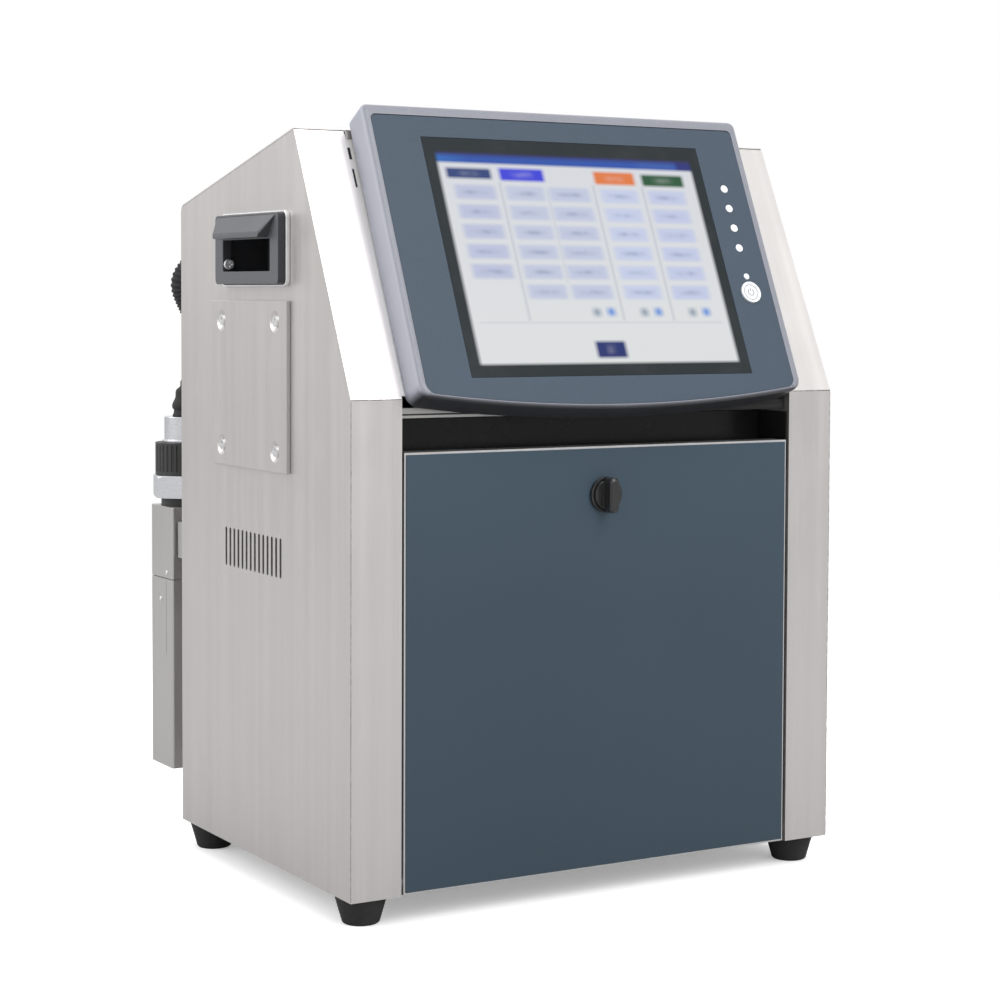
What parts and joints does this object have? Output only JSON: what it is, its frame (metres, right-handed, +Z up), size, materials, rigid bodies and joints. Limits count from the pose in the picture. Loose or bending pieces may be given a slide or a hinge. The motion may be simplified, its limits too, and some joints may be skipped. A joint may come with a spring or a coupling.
{
  "type": "date code inkjet printer",
  "caption": "Continuous inkjet coder: steel cabinet, tilted touch panel, drop-down door over the ink bay, and a print head parked on the back.",
  "frame": {"origin": "floor level at the middle of the printer's outer box in plan, from the panel's rim to the parked print head", "axes": "+X to the right of a person facing the screen, +Y to the back, +Z up"},
  "size_m": [0.427, 0.3956, 0.5482],
  "materials": {
    "stainless": "brushed, fine vertical grain",
    "inner_steel": "plain cold rolled",
    "fascia_black": "gloss black",
    "door_blue": "satin powder coat",
    "bezel_grey": "fine satin texture",
    "overlay_blue": "satin film",
    "screen_glass": "black bordered touch screen",
    "lamp_white": "milky lens",
    "handle_grey": "fine moulded texture",
    "black_plastic": "polished moulding",
    "matt_black": "moulded",
    "black_rubber": "matt",
    "zinc": "bright zinc plate",
    "turned_metal": "turned and anodised",
    "tank_plastic": "translucent polyethylene",
    "cap_red": "moulded",
    "board_green": "solder resist",
    "brass_tone": "machined"
  },
  "bodies": {
    "cabinet": {"left_side_panel": "stainless", "right_side_panel": "stainless", "top_cover": "stainless", "back_panel": "stainless", "base_pan": "inner_steel", "shelf": "inner_steel", "recess_fascia": "fascia_black", "front_bulkhead": "inner_steel", "rubber_feet": "black_rubber", "foot_screws": "zinc", "carry_handles": "handle_grey", "handle_rims": "zinc", "handle_screws": "zinc", "cover_plate": "stainless", "plate_screws": "zinc", "door_hinge_pins": "zinc", "fixed_hinge_leaves": "zinc", "panel_hinge_pins": "zinc", "ink_tank": "tank_plastic", "solvent_tank": "tank_plastic", "ink_filter": "tank_plastic", "valve_manifold": "turned_metal", "solenoid_valves": "matt_black", "pump_motor": "matt_black", "pump_head": "brass_tone", "supply_hoses": "matt_black", "power_supply": "inner_steel", "main_board": "board_green", "fan_frame": "matt_black", "fan_guard": "zinc", "power_inlet": "matt_black", "io_connectors": "turned_metal", "cable_gland": "matt_black", "head_conduit": "matt_black", "head_holder": "inner_steel"},
    "door": {"door_pan": "inner_steel", "door_skin": "door_blue", "latch_bushing": "black_plastic"},
    "latch": {"latch_knob": "black_plastic", "latch_cam": "zinc"},
    "operator_panel": {"panel_bezel": "bezel_grey", "panel_back_shell": "bezel_grey", "overlay_film": "overlay_blue", "touch_glass": "screen_glass", "lcd_module": "zinc", "status_leds": "lamp_white", "panel_hinge_leaves": "zinc"},
    "power_key": {"power_button": "lamp_white"},
    "ink_cap_body": {"ink_cap": "matt_black"},
    "solvent_cap_body": {"solvent_cap": "cap_red"},
    "regulator": {"regulator_knob": "matt_black"},
    "pump_rotor": {"pump_shaft": "zinc"},
    "fan_blades": {"fan_rotor": "matt_black"},
    "rocker": {"mains_rocker": "matt_black"},
    "print_head": {"head_ring_nut": "turned_metal", "head_grip": "matt_black", "head_hex_nut": "turned_metal", "nozzle_block": "brass_tone", "head_body": "stainless"},
    "head_shell": {"head_cover": "stainless"}
  },
  "joints": [
    {"name": "door_drop", "type": "hinge", "parent": "cabinet", "child": "door", "pos_m": [0, -0.16623, 0.027], "axis": [1, 0, 0], "range_deg": [0, 90]},
    {"name": "latch_turn", "type": "hinge", "parent": "door", "child": "latch", "pos_m": [0, -0.17423, 0.281], "axis": [0, 1, 0], "range_deg": [0, 90]},
    {"name": "panel_tilt", "type": "hinge", "parent": "cabinet", "child": "operator_panel", "pos_m": [0, -0.08223, 0.5349], "axis": [-1, 0, 0], "range_deg": [0, 60]},
    {"name": "power_press", "type": "slide", "parent": "operator_panel", "child": "power_key", "axis": [0, 0.9128, -0.4083], "range_m": [0, 0.001], "stiffness_N_per_m": 800},
    {"name": "ink_cap_turn", "type": "hinge", "parent": "cabinet", "child": "ink_cap_body", "pos_m": [-0.088, -0.08223, 0.1675], "axis": [0, 0, 1], "continuous": true},
    {"name": "solvent_cap_turn", "type": "hinge", "parent": "cabinet", "child": "solvent_cap_body", "pos_m": [0.03, -0.08223, 0.1675], "axis": [0, 0, 1], "continuous": true},
    {"name": "regulator_turn", "type": "hinge", "parent": "cabinet", "child": "regulator", "pos_m": [0.125, 0.03177, 0.095], "axis": [0, 0, 1], "range_deg": [-150, 150]},
    {"name": "pump_spin", "type": "hinge", "parent": "cabinet", "child": "pump_rotor", "pos_m": [-0.06, 0.05077, 0.079], "axis": [1, 0, 0], "continuous": true},
    {"name": "fan_spin", "type": "hinge", "parent": "cabinet", "child": "fan_blades", "pos_m": [0.07, 0.10577, 0.391], "axis": [0, 1, 0], "continuous": true},
    {"name": "mains_rock", "type": "hinge", "parent": "cabinet", "child": "rocker", "pos_m": [0.178, 0.10979, 0.079], "axis": [-1, 0, 0], "range_deg": [0, 16]},
    {"name": "head_lift", "type": "slide", "parent": "cabinet", "child": "print_head", "axis": [0, 0, 1], "range_m": [0, 0.03], "deforming": ["head_conduit"]},
    {"name": "head_cover_slide", "type": "slide", "parent": "print_head", "child": "head_shell", "axis": [0, 0, -1], "range_m": [0, 0.04]}
  ]
}
